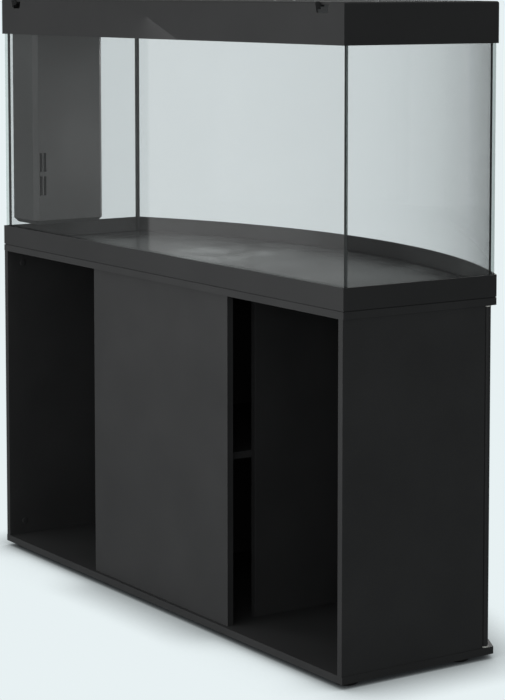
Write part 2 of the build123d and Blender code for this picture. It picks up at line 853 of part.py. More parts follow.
def make_basket(level):
    # open tray with a slotted floor
    x, y = basket_ranges()
    z = basket_low(level)
    tray = round_upright(block(x, y, (z, z + basket_height)), filter_chamfer)
    hollow = block((x[0] + basket_wall, x[1] - basket_wall), (y[0] + basket_wall, y[1] - basket_wall),
                   (z + basket_wall, z + basket_height + past))
    tray -= round_upright(hollow, filter_chamfer - basket_wall)
    slots = int((x[1] - x[0] - 4 * filter_chamfer) / (4 * slot_width))
    for n in range(slots + 1):
        slot_x = x[0] + 2 * filter_chamfer + n * 4 * slot_width
        tray -= block((slot_x, slot_x + slot_width), (y[0] + filter_chamfer, y[1] - filter_chamfer),
                      (z - past, z + basket_wall + past))
    return tray


def make_sponge(level):
    x, y = basket_ranges()
    inset = basket_wall + sponge_clearance
    z = basket_low(level) + basket_wall
    body = block((x[0] + inset, x[1] - inset), (y[0] + inset, y[1] - inset), (z, z + sponge_height))
    return round_upright(body, filter_chamfer - inset)


def make_filter_pads():
    # discs that hold the box to the end pane
    pads = []
    for y in (filter_front_y + pad_from_side, filter_rear_y - pad_from_side):
        for z in (filter_low + pad_from_end, filter_top - pad_from_end):
            pads.append(rod_x(y, z, pad_radius, filter_high_x, filter_high_x + filter_side_pad))
    return pads


# ---- Pump, outlet and heater ----

def make_pump_housing():
    body = rod_z(pump_x, pump_y, pump_body_radius, pump_low, pump_high)
    body = fillet(body.edges(), pump_body_edge)
    body -= rod_z(pump_x, pump_y, pump_well_radius, pump_low + pump_well_floor, pump_high + past)
    return body - rod_z(pump_x, pump_y, pump_shaft_radius, pump_low + pump_well_floor / 2, pump_high)


def make_pump_rotor():
    low = pump_low + pump_well_floor + rotor_clearance
    vane_low = pump_high + rotor_clearance
    rotor = rod_z(pump_x, pump_y, rotor_radius, low, vane_low)
    hub = rod_z(pump_x, pump_y, 2 * pump_shaft_radius + vane_thickness, vane_low, vane_low + impeller_height)
    rotor += hub
    for n in range(3):
        vane = Box(2 * impeller_radius, vane_thickness, impeller_height)
        rotor += Pos(pump_x, pump_y, vane_low + impeller_height / 2) * Rot(0, 0, 60 * n) * vane
    bore_high = vane_low + impeller_height + past
    return rotor - rod_z(pump_x, pump_y, pump_shaft_radius + pin_clearance, low - past, bore_high)


def make_pump_shaft():
    high = pump_high + pump_cover_height - pump_cover_wall / 2
    return rod_z(pump_x, pump_y, pump_shaft_radius, pump_low + pump_well_floor / 2, high)


def make_pump_cover():
    # impeller chamber with the riser and the outlet pipe that passes out through the box
    high = pump_high + pump_cover_height
    cover = rod_z(pump_x, pump_y, pump_cover_radius, pump_high, high)
    riser_x = pump_x + riser_offset
    cover += rod_z(riser_x, pump_y, pipe_radius, high, pipe_z)
    cover += Pos(riser_x, pump_y, pipe_z) * Sphere(pipe_radius)
    cover += rod_x(pump_y, pipe_z, pipe_radius, filter_low_x - pipe_reach, riser_x)
    chamber_radius = pump_cover_radius - pump_cover_wall
    cover -= rod_z(pump_x, pump_y, chamber_radius, pump_high - past, high - pump_cover_wall)
    cover -= rod_z(riser_x, pump_y, pipe_bore_radius, high - pump_cover_wall - past, pipe_z)
    cover -= Pos(riser_x, pump_y, pipe_z) * Sphere(pipe_bore_radius)
    cover -= rod_x(pump_y, pipe_z, pipe_bore_radius, filter_low_x - pipe_reach - past, riser_x)
    inlet = Box(4 * pump_cover_wall, inlet_width, inlet_height)
    inlet = Pos(pump_cover_radius, 0, pump_cover_height / 2) * inlet
    for n in range(inlet_count):
        cover -= Pos(pump_x, pump_y, pump_high) * Rot(0, 0, 360 * (n + 0.5) / inlet_count) * inlet
    return cover - make_pump_shaft()


def make_nozzle():
    # sleeve on the pipe's end, with a spout bent towards the front
    inner = pipe_radius + nozzle_clearance
    outer = inner + nozzle_wall
    start_x = filter_low_x - 1
    end_x = start_x - nozzle_sleeve
    aim = Pos(end_x, pump_y, pipe_z) * Rot(0, 0, nozzle_angle)
    sleeve = rod_x(pump_y, pipe_z, outer, end_x, start_x)
    spout = aim * rod_x(0, 0, outer, -nozzle_spout, 0)
    nozzle = sleeve + spout + Pos(end_x, pump_y, pipe_z) * Sphere(outer)
    nozzle -= rod_x(pump_y, pipe_z, inner, end_x + nozzle_wall, start_x + past)
    nozzle -= rod_x(pump_y, pipe_z, pipe_bore_radius, end_x, start_x)
    nozzle -= Pos(end_x, pump_y, pipe_z) * Sphere(pipe_bore_radius)
    return nozzle - aim * rod_x(0, 0, pipe_bore_radius, -nozzle_spout - past, 0)


def make_heater():
    head_low = head_top - heater_head_height
    tube = rod_z(heater_x, pump_y, heater_radius, head_low - heater_length, head_low)
    tube = fillet(tube.edges().group_by(Axis.Z)[0], heater_radius - heater_tip_flat)
    head = rod_z(heater_x, pump_y, heater_head_radius, head_low, head_top)
    return tube + head + rod_z(heater_x, pump_y, spigot_radius, head_top, head_top + spigot_height)


def make_heater_knob():
    knob = rod_z(heater_x, pump_y, knob_radius, knob_low, knob_top)
    for n in range(knob_grooves):
        turn = 2 * pi * n / knob_grooves
        groove_x = heater_x + knob_radius * cos(turn)
        groove_y = pump_y + knob_radius * sin(turn)
        knob -= rod_z(groove_x, groove_y, knob_groove_radius, knob_low - past, knob_top + past)
    bore_high = head_top + spigot_height + past
    knob -= rod_z(heater_x, pump_y, spigot_radius + pin_clearance, knob_low - past, bore_high)
    pointer_x = (heater_x - pointer_width / 2, heater_x + pointer_width / 2)
    pointer_y = (pump_y + pointer_from_axis, pump_y + knob_radius - pointer_from_rim)
    return knob + block(pointer_x, pointer_y, (knob_top, knob_top + pointer_height))


# ---- Assembly ----

def assemble():
    joints = [panel_joints(name) for name in panels()]
    nodes = {name: make_panel(name) for name in panels()}
    nodes.update({
        "bottom_board": make_board(foot_height),
        "top_board": make_board(top_low),
        "shelf": make_shelf(),
        "shelf_pins": shelf_pin_solids(),
        "cam_locks": [solid for cams, _, _ in joints for solid in cams],
        "cam_bolts": [solid for _, bolts, _ in joints for solid in bolts],
        "wood_dowels": [solid for _, _, dowels in joints for solid in dowels],
        "feet": make_feet(),
        "door_bushes": bush_solids(filled=False),
        "magnet_catches": make_catches(),
    })
    for name, (place, reach, hand) in door_kinds().items():
        nodes[f"door_{name}"] = place * make_leaf(reach, hand)
        nodes[f"handle_{name}"] = place * make_handle(reach, hand)
        nodes[f"strike_plate_{name}"] = place * make_strike(reach, hand)
        fasteners = pin_solids() + screw_solids(reach, hand)
        nodes[f"door_fasteners_{name}"] = [place * solid for solid in fasteners]
    nodes.update({
        "bottom_frame": make_bottom_frame(),
        "floor_pane": slab(outline(glass_inner + bond), tank_floor, floor_glass_top),
        "rear_pane": make_rear_pane(),
        "left_pane": make_end_pane(-1),
        "right_pane": make_end_pane(1),
        "bow_pane": make_bow_pane(),
        "silicone_seals": make_seals(),
        "cross_ties": make_cross_ties(),
        "hood_frame": make_hood_frame(),
        "light_housing": make_light_housing(),
        "light_cover": make_light_cover(),
        "led_tubes": make_led_tubes(),
        "lid_hinge_rods": make_hinge_rods(),
    })
    for row in ("front", "rear"):
        for side, word in ((-1, "left"), (1, "right")):
            nodes[f"hood_lid_{row}_{word}"] = make_lid(row, side)
    nodes.update({
        "filter_box": make_filter_box(),
        "filter_lid": make_filter_lid(),
        "filter_partition": make_partition(),
        "filter_pads": make_filter_pads(),
        "filter_basket_lower": make_basket(0),
        "filter_basket_upper": make_basket(1),
        "sponge_coarse": make_sponge(0),
        "sponge_fine": make_sponge(1),
        "pump_housing": make_pump_housing(),
        "pump_cover": make_pump_cover(),
        "pump_rotor": make_pump_rotor(),
        "pump_shaft": make_pump_shaft(),
        "outlet_nozzle": make_nozzle(),
        "heater": make_heater(),
        "heater_knob": make_heater_knob(),
    })
    return nodes


def solids_of(shape):
    # the separate solids of one node
    if isinstance(shape, list):
        return [solid for item in shape for solid in item.solids()]
    return list(shape.solids())


def main():
    os.makedirs("parts", exist_ok=True)
    for name, shape in assemble().items():
        solids = solids_of(shape)
        export_step(solids[0] if len(solids) == 1 else Compound(children=solids), f"parts/{name}.step")
        print(f"{name}: {len(solids)} solids")


main()
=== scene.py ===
import json
import math
import bmesh
import bpy
from mathutils import Matrix, Vector, noise


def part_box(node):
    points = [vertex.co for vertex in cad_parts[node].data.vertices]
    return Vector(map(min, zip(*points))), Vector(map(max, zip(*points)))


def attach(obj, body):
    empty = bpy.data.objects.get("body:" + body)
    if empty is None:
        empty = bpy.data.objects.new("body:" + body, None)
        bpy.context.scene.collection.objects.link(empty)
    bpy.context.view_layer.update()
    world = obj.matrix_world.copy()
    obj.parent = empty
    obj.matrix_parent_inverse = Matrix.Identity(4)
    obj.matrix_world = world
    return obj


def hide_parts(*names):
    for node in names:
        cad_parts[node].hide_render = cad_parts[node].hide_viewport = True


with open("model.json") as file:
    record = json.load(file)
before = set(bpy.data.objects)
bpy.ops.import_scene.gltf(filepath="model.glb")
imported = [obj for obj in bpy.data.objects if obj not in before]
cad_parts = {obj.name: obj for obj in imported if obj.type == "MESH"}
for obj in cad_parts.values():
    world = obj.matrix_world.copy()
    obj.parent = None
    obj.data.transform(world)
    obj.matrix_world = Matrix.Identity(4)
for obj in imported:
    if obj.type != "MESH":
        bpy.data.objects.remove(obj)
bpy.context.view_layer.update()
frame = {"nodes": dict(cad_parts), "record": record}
nodes = frame["nodes"]
print("frame loaded with", len(nodes), "parts")


# small helpers for shader trees

def addNode(tree, kind, inputs=None, **settings):
    node = tree.nodes.new(kind)
    for key, value in settings.items():
        setattr(node, key, value)
    for key, value in (inputs or {}).items():
        node.inputs[key].default_value = value
    return node


def join(tree, start, output, end, socket):
    tree.links.new(start.outputs[output], end.inputs[socket])


def emptyMaterial(name):
    material = bpy.data.materials.new(name)
    material.use_nodes = True
    return material, material.node_tree, material.node_tree.nodes["Principled BSDF"]


# how every grained finish is mixed, and what a finish takes when its own look doesn't say
grainMix = {"grainShare": 0.65, "cloudShare": 0.35, "darkUpTo": 0.36, "lightFrom": 0.64,
            "grainDetail": 3.0, "grainRough": 0.6, "cloudDetail": 4.0, "cloudRough": 0.55,
            "stretch": (1, 1, 1), "metal": 0.0, "shine": 0.5, "coat": 0.0, "coatRough": 0.1, "sheen": 0.0}


def grainedMaterial(name, ownLook):
    # two shades mixed by fine grain and slow clouds, with a bump from the grain
    look = {**grainMix, **ownLook}
    material, tree, shader = emptyMaterial(name)
    place = addNode(tree, "ShaderNodeTexCoord")
    stretch = addNode(tree, "ShaderNodeMapping", {"Scale": look["stretch"]})
    join(tree, place, "Object", stretch, "Vector")
    grain = addNode(tree, "ShaderNodeTexNoise", {"Scale": 1 / look["grain"], "Detail": look["grainDetail"],
                                                 "Roughness": look["grainRough"]})
    join(tree, stretch, "Vector", grain, "Vector")
    clouds = addNode(tree, "ShaderNodeTexNoise", {"Scale": 1 / look["clouds"],
                                                  "Detail": look["cloudDetail"],
                                                  "Roughness": look["cloudRough"]})
    join(tree, place, "Object", clouds, "Vector")
    blendIn = addNode(tree, "ShaderNodeMath", operation="MULTIPLY_ADD")
    blendIn.inputs[1].default_value = look["cloudShare"]
    join(tree, clouds, "Fac", blendIn, 0)
    softGrain = addNode(tree, "ShaderNodeMath", operation="MULTIPLY")
    softGrain.inputs[1].default_value = look["grainShare"]
    join(tree, grain, "Fac", softGrain, 0)
    join(tree, softGrain, "Value", blendIn, 2)
    shade = addNode(tree, "ShaderNodeValToRGB")
    darkStop, lightStop = shade.color_ramp.elements
    darkStop.position, darkStop.color = look["darkUpTo"], (*look["dark"], 1)
    lightStop.position, lightStop.color = look["lightFrom"], (*look["light"], 1)
    join(tree, blendIn, "Value", shade, "Fac")
    join(tree, shade, "Color", shader, "Base Color")
    sheen = addNode(tree, "ShaderNodeMapRange", {"To Min": look["rough"][0], "To Max": look["rough"][1]})
    join(tree, blendIn, "Value", sheen, "Value")
    join(tree, sheen, "Result", shader, "Roughness")
    bump = addNode(tree, "ShaderNodeBump", {"Strength": look["bump"], "Distance": look["depth"]})
    join(tree, grain, "Fac", bump, "Height")
    join(tree, bump, "Normal", shader, "Normal")
    shader.inputs["Metallic"].default_value = look["metal"]
    shader.inputs["Specular IOR Level"].default_value = look["shine"]
    shader.inputs["Coat Weight"].default_value = look["coat"]
    shader.inputs["Coat Roughness"].default_value = look["coatRough"]
    shader.inputs["Sheen Weight"].default_value = look["sheen"]
    return material


# how fast every glass turns into a mirror and deepens towards its edge-on view, and how dust lies on it
glassMix = {"mirrorPower": 5.0, "depthPower": 2.0, "dustFrom": 0.4, "dustTo": 0.8, "dustDetail": 6.0,
            "dustRough": 0.7, "dustTone": (0.62, 0.66, 0.66)}


def glassMaterial(name, look):
    # straight through with a tint that deepens at grazing angles, a growing mirror and a faint film of dust
    material, tree, shader = emptyMaterial(name)
    tree.nodes.remove(shader)
    output = tree.nodes["Material Output"]
    angle = addNode(tree, "ShaderNodeLayerWeight", {"Blend": 0.5})
    mirrorGrowth = addNode(tree, "ShaderNodeMath", operation="POWER")
    mirrorGrowth.inputs[1].default_value = glassMix["mirrorPower"]
    join(tree, angle, "Facing", mirrorGrowth, 0)
    mirrorShare = addNode(tree, "ShaderNodeMapRange", {"To Min": look["mirror"], "To Max": 1.0})
    join(tree, mirrorGrowth, "Value", mirrorShare, "Value")
    depthGrowth = addNode(tree, "ShaderNodeMath", operation="POWER")
    depthGrowth.inputs[1].default_value = glassMix["depthPower"]
    join(tree, angle, "Facing", depthGrowth, 0)
    tint = addNode(tree, "ShaderNodeMix", data_type="RGBA")
    tint.inputs["A"].default_value = (*look["tint"], 1)
    tint.inputs["B"].default_value = (*look["deepTint"], 1)
    join(tree, depthGrowth, "Value", tint, "Factor")
    clear = addNode(tree, "ShaderNodeBsdfTransparent")
    join(tree, tint, "Result", clear, "Color")
    mirror = addNode(tree, "ShaderNodeBsdfGlossy", {"Roughness": look["rough"]})
    surface = addNode(tree, "ShaderNodeMixShader")
    join(tree, mirrorShare, "Result", surface, "Fac")
    join(tree, clear, "BSDF", surface, 1)
    join(tree, mirror, "BSDF", surface, 2)
    place = addNode(tree, "ShaderNodeTexCoord")
    film = addNode(tree, "ShaderNodeTexNoise", {"Scale": 1 / look["clouds"],
                                                "Detail": glassMix["dustDetail"],
                                                "Roughness": glassMix["dustRough"]})
    join(tree, place, "Object", film, "Vector")
    filmShare = addNode(tree, "ShaderNodeMapRange", {"From Min": glassMix["dustFrom"],
                                                     "From Max": glassMix["dustTo"], "To Max": look["dust"]})
    join(tree, film, "Fac", filmShare, "Value")
    dust = addNode(tree, "ShaderNodeBsdfDiffuse", {"Color": (*glassMix["dustTone"], 1)})
    dusty = addNode(tree, "ShaderNodeMixShader")
    join(tree, filmShare, "Result", dusty, "Fac")
    join(tree, surface, "Shader", dusty, 1)
    join(tree, dust, "BSDF", dusty, 2)
    join(tree, dusty, "Shader", output, "Surface")
    return material


# small helpers for meshes

samePoint = 0.00001  # corners nearer than this are one corner


def weldedCopy(nodeName):
    bm = bmesh.new()
    bm.from_mesh(nodes[nodeName].data)
    bmesh.ops.remove_doubles(bm, verts=bm.verts, dist=samePoint)
    return bm


def loosePieces(nodeName):
    # low and high corners of each separate solid in a part, in a steady order
    bm = weldedCopy(nodeName)
    bm.verts.ensure_lookup_table()
    seen = set()
    boxes = []
    for start in bm.verts:
        if start.index in seen:
            continue
        seen.add(start.index)
        waiting = [start]
        points = []
        while waiting:
            vert = waiting.pop()
            points.append(vert.co.copy())
            for edge in vert.link_edges:
                other = edge.other_vert(vert)
                if other.index not in seen:
                    seen.add(other.index)
                    waiting.append(other)
        low = Vector([min(point[axis] for point in points) for axis in range(3)])
        high = Vector([max(point[axis] for point in points) for axis in range(3)])
        boxes.append((low, high))
    bm.free()
    return boxes


def ripple(turn, count):
    # runs from 0 to 1 and back, count times in a full turn
    return 0.5 - 0.5 * math.cos(count * turn)


def skinRings(bm, rings, finish):
    # closes the first and last ring and joins each ring to the next
    faces = [bm.faces.new(tuple(reversed(rings[0]))), bm.faces.new(tuple(rings[-1]))]
    for lower, upper in zip(rings, rings[1:]):
        for side in range(len(lower)):
            after = (side + 1) % len(lower)
            faces.append(bm.faces.new((lower[side], lower[after], upper[after], upper[side])))
    for face in faces:
        face.material_index = finish
    return faces


def lathe(bm, profile, steps, place, finish=0, groove=None):
    # turns (radius, height) pairs about the place's own z axis
    rings = []
    for radius, height in profile:
        ring = []
        for step in range(steps):
            turn = 2 * math.pi * step / steps
            reach = radius - (groove(turn, radius, height) if groove else 0)
            spot = Vector((reach * math.cos(turn), reach * math.sin(turn), height))
            ring.append(bm.verts.new(place @ spot))
        rings.append(ring)
    return skinRings(bm, rings, finish)


def pieceFrom(bm, name, finishes, crease=35):
    # a finished piece: outward faces, smooth shading with crisp edges
    bmesh.ops.recalc_face_normals(bm, faces=bm.faces)
    mesh = bpy.data.meshes.new(name)
    bm.to_mesh(mesh)
    bm.free()
    mesh.shade_smooth()
    mesh.set_sharp_from_angle(angle=math.radians(crease))
    for finish in finishes:
        mesh.materials.append(finish)
    piece = bpy.data.objects.new(name, mesh)
    bpy.context.scene.collection.objects.link(piece)
    return piece


def settle(piece, body, slotName, *standsFor):
    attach(piece, body)
    if standsFor:
        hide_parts(*standsFor)


# finishes of the cabinet
boardLook = {"dark": (0.021, 0.021, 0.0215), "light": (0.034, 0.034, 0.0345), "grain": 0.0012,
             "clouds": 0.16, "rough": (0.50, 0.68), "bump": 0.35, "depth": 0.00012, "shine": 0.22}
boardBlack = grainedMaterial("boardBlack", boardLook)
doorLook = {"dark": (0.020, 0.020, 0.0205), "light": (0.032, 0.032, 0.033), "grain": 0.0010, "clouds": 0.2,
            "rough": (0.42, 0.58), "bump": 0.3, "depth": 0.0001, "shine": 0.25}
doorBlack = grainedMaterial("doorBlack", doorLook)
footLook = {"dark": (0.008, 0.008, 0.008), "light": (0.020, 0.020, 0.020), "grain": 0.0007, "clouds": 0.02,
            "rough": (0.45, 0.7), "bump": 0.4, "depth": 0.0002, "shine": 0.3}
footBlack = grainedMaterial("footBlack", footLook)
zincLook = {"dark": (0.30, 0.30, 0.31), "light": (0.52, 0.52, 0.53), "grain": 0.0008, "clouds": 0.01,
            "rough": (0.35, 0.6), "bump": 0.4, "depth": 0.0002, "metal": 1.0}
castZinc = grainedMaterial("castZinc", zincLook)
steelLook = {"dark": (0.46, 0.46, 0.48), "light": (0.66, 0.66, 0.66), "grain": 0.0006, "clouds": 0.012,
             "rough": (0.2, 0.38), "bump": 0.25, "depth": 0.0001, "metal": 1.0, "stretch": (1, 1, 0.12)}
platedSteel = grainedMaterial("platedSteel", steelLook)
beechLook = {"dark": (0.46, 0.29, 0.15), "light": (0.68, 0.50, 0.32), "grain": 0.0016, "clouds": 0.02,
             "rough": (0.6, 0.8), "bump": 0.5, "depth": 0.0003, "stretch": (1, 1, 0.08)}
beechWood = grainedMaterial("beechWood", beechLook)
handleLook = {"dark": (0.016, 0.016, 0.0165), "light": (0.034, 0.034, 0.034), "grain": 0.0005,
              "clouds": 0.05, "rough": (0.28, 0.42), "bump": 0.3, "depth": 0.0001, "coat": 0.25,
              "coatRough": 0.3}
handleCoat = grainedMaterial("handleCoat", handleLook)
nylonLook = {"dark": (0.58, 0.57, 0.52), "light": (0.74, 0.73, 0.69), "grain": 0.0008, "clouds": 0.01,
             "rough": (0.4, 0.55), "bump": 0.2, "depth": 0.0001}
nylonWhite = grainedMaterial("nylonWhite", nylonLook)
catchLook = {"dark": (0.018, 0.018, 0.018), "light": (0.035, 0.035, 0.036), "grain": 0.0008, "clouds": 0.02,
             "rough": (0.4, 0.6), "bump": 0.3, "depth": 0.0001, "shine": 0.4}
catchBlack = grainedMaterial("catchBlack", catchLook)
print("cabinet finishes ready")

# finishes of the tank and hood
hoodLook = {"dark": (0.019, 0.019, 0.0195), "light": (0.029, 0.029, 0.0295), "grain": 0.0007,
            "clouds": 0.25, "rough": (0.46, 0.60), "bump": 0.35, "depth": 0.0001, "shine": 0.22}
hoodPlastic = grainedMaterial("hoodPlastic", hoodLook)
sealLook = {"dark": (0.010, 0.010, 0.011), "light": (0.022, 0.022, 0.023), "grain": 0.002, "clouds": 0.03,
            "rough": (0.25, 0.4), "bump": 0.3, "depth": 0.0003}
sealBlack = grainedMaterial("sealBlack", sealLook)
beamLook = {"dark": (0.52, 0.53, 0.54), "light": (0.70, 0.71, 0.72), "grain": 0.0009, "clouds": 0.1,
            "rough": (0.28, 0.44), "bump": 0.25, "depth": 0.00008, "metal": 1.0, "stretch": (0.03, 1, 1)}
beamMetal = grainedMaterial("beamMetal", beamLook)
paneLook = {"tint": (0.980, 0.981, 0.981), "deepTint": (0.73, 0.737, 0.737), "mirror": 0.04, "rough": 0.0,
            "clouds": 0.35, "dust": 0.012}
clearPane = glassMaterial("clearPane", paneLook)
bedPaneLook = {"tint": (0.94, 0.95, 0.95), "deepTint": (0.80, 0.83, 0.82), "mirror": 0.04, "rough": 0.24,
               "clouds": 0.22, "dust": 0.16}
bedPane = glassMaterial("bedPane", bedPaneLook)
cutLook = {"tint": (0.84, 0.90, 0.885), "deepTint": (0.55, 0.66, 0.63), "mirror": 0.05, "rough": 0.25,
           "clouds": 0.03, "dust": 0.10}
cutGlass = glassMaterial("cutGlass", cutLook)
coverLook = {"tint": (0.93, 0.95, 0.95), "deepTint": (0.80, 0.82, 0.82), "mirror": 0.05, "rough": 0.15,
             "clouds": 0.02, "dust": 0.06}
lampCover = glassMaterial("lampCover", coverLook)
tubeLook = {"dark": (0.78, 0.79, 0.77), "light": (0.90, 0.90, 0.88), "grain": 0.003, "clouds": 0.03,
            "rough": (0.2, 0.3), "bump": 0.05, "depth": 0.0001}
tubeWhite = grainedMaterial("tubeWhite", tubeLook)
print("tank finishes ready")

# finishes of the filter
filterLook = {"dark": (0.033, 0.034, 0.034), "light": (0.050, 0.052, 0.052), "grain": 0.0009,
              "clouds": 0.12, "rough": (0.32, 0.46), "bump": 0.3, "depth": 0.0001, "shine": 0.42}
filterPlastic = grainedMaterial("filterPlastic", filterLook)
innerLook = {"dark": (0.050, 0.054, 0.058), "light": (0.082, 0.086, 0.092), "grain": 0.0010, "clouds": 0.06,
             "rough": (0.42, 0.6), "bump": 0.3, "depth": 0.0001}
innerPlastic = grainedMaterial("innerPlastic", innerLook)
ceramicLook = {"dark": (0.72, 0.71, 0.67), "light": (0.86, 0.85, 0.82), "grain": 0.0005, "clouds": 0.01,
               "rough": (0.12, 0.25), "bump": 0.1, "depth": 0.00005, "coat": 0.4}
ceramicWhite = grainedMaterial("ceramicWhite", ceramicLook)
magnetLook = {"dark": (0.08, 0.08, 0.09), "light": (0.15, 0.15, 0.16), "grain": 0.0007, "clouds": 0.01,
              "rough": (0.25, 0.4), "bump": 0.2, "depth": 0.0001}
magnetGrey = grainedMaterial("magnetGrey", magnetLook)
padLook = {"dark": (0.030, 0.030, 0.031), "light": (0.046, 0.047, 0.047), "grain": 0.001, "clouds": 0.01,
           "rough": (0.5, 0.65), "bump": 0.3, "depth": 0.0001, "shine": 0.3}
padRubber = grainedMaterial("padRubber", padLook)
coarseLook = {"dark": (0.012, 0.045, 0.16), "light": (0.05, 0.16, 0.42), "grain": 0.0022, "clouds": 0.03,
              "rough": (0.8, 0.95), "bump": 1.0, "depth": 0.0012, "shine": 0.1, "sheen": 0.2}
coarseFoam = grainedMaterial("coarseFoam", coarseLook)
fineLook = {"dark": (0.020, 0.020, 0.022), "light": (0.10, 0.10, 0.10), "grain": 0.0012, "clouds": 0.03,
            "rough": (0.85, 0.97), "bump": 1.0, "depth": 0.0007, "shine": 0.1, "sheen": 0.2}
fineFoam = grainedMaterial("fineFoam", fineLook)
smokedLook = {"tint": (0.62, 0.66, 0.66), "deepTint": (0.40, 0.44, 0.44), "mirror": 0.05, "rough": 0.02,
              "clouds": 0.05, "dust": 0.02}
smokedTube = glassMaterial("smokedTube", smokedLook)
print("filter finishes ready")

finishOfSlot = {
    "cabinet_board": boardBlack, "door_board": doorBlack, "black_plastic": hoodPlastic,
    "filter_plastic": filterPlastic, "inner_plastic": innerPlastic, "clear_glass": clearPane,
    "silicone": sealBlack, "light_metal": beamMetal, "lamp_cover": lampCover, "lamp_tube": tubeWhite,
    "steel": platedSteel, "zinc": castZinc, "raw_wood": beechWood, "foot_plastic": footBlack,
    "handle_metal": handleCoat, "nylon": nylonWhite, "catch_plastic": catchBlack,
    "coarse_foam": coarseFoam, "fine_foam": fineFoam, "ceramic": ceramicWhite, "magnet": magnetGrey,
    "heater_glass": smokedTube, "pad_rubber": padRubber,
}
for part in frame["record"]["subparts"]:
    holder = nodes[part["node"]]
    for slot in holder.material_slots:
        slot.material = finishOfSlot[part["material_slot"]]

# softened edges on the boards and mouldings, by modifiers only: width of the softening and who has it
edgeSoftening = {
    "segments": 2, "sharperThan": 40, "samePoint": 0.00002,
    "widths": {
        0.0008: ("bottom_frame", "filter_box"),
        0.0006: ("bottom_board", "top_board", "shelf", "back_panel", "side_panel_left", "side_panel_right",
                 "divider_left", "divider_right", "filter_lid", "hood_frame", "hood_lid_front_left",
                 "hood_lid_front_right", "hood_lid_rear_left", "hood_lid_rear_right"),
        0.0005: ("door_left", "door_middle", "door_right"),
        0.0004: ("filter_basket_lower", "filter_basket_upper", "filter_partition", "light_housing",
                 "magnet_catches"),
    },
}


def softenEdges(holder, width):
    weld = holder.modifiers.new("weld", "WELD")
    weld.merge_threshold = edgeSoftening["samePoint"]
    bevel = holder.modifiers.new("softEdge", "BEVEL")
    bevel.width = width
    bevel.segments = edgeSoftening["segments"]
    bevel.limit_method = "ANGLE"
    bevel.angle_limit = math.radians(edgeSoftening["sharperThan"])
    bevel.harden_normals = True
    holder.modifiers.new("evenShade", "WEIGHTED_NORMAL")


for width, names in edgeSoftening["widths"].items():
    for name in names:
        softenEdges(nodes[name], width)
print("parts dressed")

# glass sheets with polished arrises; the cut edges look greener than the faces
cutShape = {"arris": 0.0007, "arrisSteps": 2, "arrisRound": 0.5, "endLimit": 0.9, "flatterThan": 0.2,
            "sharperThan": 50, "crease": 60}
paneSheets = {
    "rearGlass": {"node": "rear_pane", "axis": 1, "finish": clearPane},
    "leftGlass": {"node": "left_pane", "axis": 0, "finish": clearPane},
    "rightGlass": {"node": "right_pane", "axis": 0, "finish": clearPane},
    "bowGlass": {"node": "bow_pane", "axis": None, "finish": clearPane},
    "bedGlass": {"node": "floor_pane", "axis": 2, "finish": bedPane},
    "tieGlass": {"node": "cross_ties", "axis": 2, "finish": clearPane},
}


def isCutEdge(normal, axis, limit):
    # a flat sheet's faces look along one axis, the bowed sheet's along no axis but outwards
    if axis is None:
        return abs(normal.x) > limit or abs(normal.z) > 1 - limit
    return abs(normal[axis]) < limit


def makeSheet(name, sheet):
    shape = cutShape
    bm = weldedCopy(sheet["node"])
    bmesh.ops.dissolve_limit(bm, angle_limit=math.radians(shape["flatterThan"]), verts=bm.verts,
                             edges=bm.edges)
    sharp = math.radians(shape["sharperThan"])
    corners = [edge for edge in bm.edges if edge.calc_face_angle(0) > sharp]
    bmesh.ops.bevel(bm, geom=corners, offset=shape["arris"], segments=shape["arrisSteps"],
                    profile=shape["arrisRound"], affect="EDGES")
    for face in bm.faces:
        face.normal_update()
        face.material_index = 1 if isCutEdge(face.normal, sheet["axis"], shape["endLimit"]) else 0
    piece = pieceFrom(bm, name, (sheet["finish"], cutGlass), crease=shape["crease"])
    piece.modifiers.new("evenShade", "WEIGHTED_NORMAL").keep_sharp = True
    settle(piece, "stand", "clear_glass", sheet["node"])


for name, sheet in paneSheets.items():
    makeSheet(name, sheet)
print("glass cut")

# adjustable feet: a ribbed grip between a chamfered sole and a shoulder, on a threaded stem
footShape = {"steps": 216, "ribs": 36, "ribDepth": 0.0007, "ribRunout": 0.0002, "flankLow": 0.0036,
             "flankHigh": 0.0088, "hub": 0.3, "sole": 0.0206, "soleLift": 0.0016, "soleInset": 0.0012,
             "rimInset": 0.0006, "rimDrop": 0.0012, "shoulder": 0.0215, "shoulderDrop": 0.0002,
             "collar": 0.001, "stem": 0.004, "pitch": 0.0016, "threadDepth": 0.0004}


def footGroove(turn, radius, height):
    onFlank = footShape["flankLow"] <= height <= footShape["flankHigh"]
    return footShape["ribDepth"] * ripple(turn, footShape["ribs"]) if onFlank else 0


def footProfile(radius, discTop, top):
    shape = footShape
    shoulderHeight = discTop - shape["shoulderDrop"]
    threadRoot = shape["stem"] - shape["threadDepth"]
    profile = [(shape["hub"] * radius, 0.0), (shape["sole"], 0.0),
               (radius - shape["soleInset"], shape["soleLift"]),
               (radius, shape["flankLow"] - shape["ribRunout"]), (radius, shape["flankLow"]),
               (radius, shape["flankHigh"]), (radius, shape["flankHigh"] + shape["ribRunout"]),
               (radius - shape["rimInset"], discTop - shape["rimDrop"]),
               (shape["shoulder"], shoulderHeight), (shape["stem"] + shape["collar"], shoulderHeight)]
    height = discTop
    while height + shape["pitch"] < top:
        profile += [(shape["stem"], height), (threadRoot, height + shape["pitch"] / 2)]
        height += shape["pitch"]
    return profile + [(threadRoot, top)]


